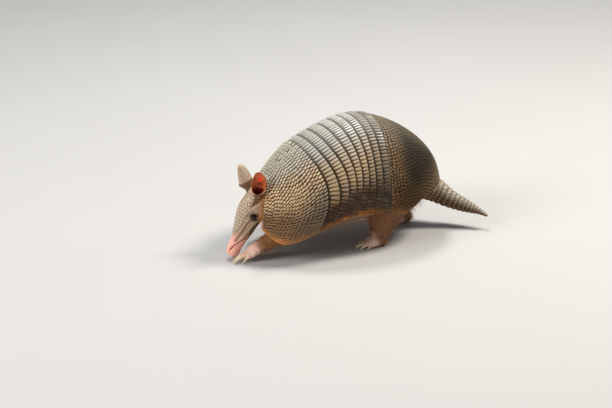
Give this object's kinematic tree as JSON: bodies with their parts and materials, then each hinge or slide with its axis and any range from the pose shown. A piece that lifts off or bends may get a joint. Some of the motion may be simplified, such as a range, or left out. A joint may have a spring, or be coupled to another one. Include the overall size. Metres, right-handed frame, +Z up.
{
  "type": "nine-banded armadillo",
  "caption": "Life-size model of an armadillo walking with its snout to the ground, with an arched shell of two shields joined by movable bands, for display.",
  "frame": {"origin": "on the floor, under the middle of the animal's overall box", "axes": "+Z up, -Y the way the animal faces, +X its left side"},
  "size_m": [0.1616, 0.3868, 0.1827],
  "materials": {
    "carapace": "horny scutes, worn and slightly glossy, grey brown with paler rims",
    "head_shield": "small horny scutes, satin, pale beige",
    "face_skin": "bare wrinkled skin with fine scales, satin, pinkish beige",
    "body_skin": "leathery skin with sparse coarse hair, matt, warm brown",
    "ear_skin": "thin bare leathery skin, satin, reddish pink",
    "eye": "wet and dark",
    "tail_armour": "rings of horny scutes, satin, pale grey brown",
    "leg_skin": "scaly skin, satin, orange brown",
    "claw": "horn, satin, ivory"
  },
  "bodies": {
    "root": {"scapular_shield": "carapace", "band_1": "carapace", "band_2": "carapace", "band_3": "carapace", "band_4": "carapace", "band_5": "carapace", "band_6": "carapace", "band_7": "carapace", "band_8": "carapace", "pelvic_shield": "carapace", "head_shield": "head_shield", "head": "face_skin", "neck": "body_skin", "trunk": "body_skin", "ear_left": "ear_skin", "ear_right": "ear_skin", "eye_left": "eye", "eye_right": "eye", "tail_base": "tail_armour", "tail_mid": "tail_armour", "tail_tip": "tail_armour", "foreleg_left": "leg_skin", "foreleg_right": "leg_skin", "hindleg_left": "leg_skin", "hindleg_right": "leg_skin", "forefoot_left": "leg_skin", "forefoot_right": "leg_skin", "hindfoot_left": "leg_skin", "hindfoot_right": "leg_skin", "forefoot_left_claw_1": "claw", "forefoot_left_claw_2": "claw", "forefoot_left_claw_3": "claw", "forefoot_left_claw_4": "claw", "forefoot_right_claw_1": "claw", "forefoot_right_claw_2": "claw", "forefoot_right_claw_3": "claw", "forefoot_right_claw_4": "claw", "hindfoot_left_claw_1": "claw", "hindfoot_left_claw_2": "claw", "hindfoot_left_claw_3": "claw", "hindfoot_left_claw_4": "claw", "hindfoot_left_claw_5": "claw", "hindfoot_right_claw_1": "claw", "hindfoot_right_claw_2": "claw", "hindfoot_right_claw_3": "claw", "hindfoot_right_claw_4": "claw", "hindfoot_right_claw_5": "claw"}
  },
  "joints": []
}
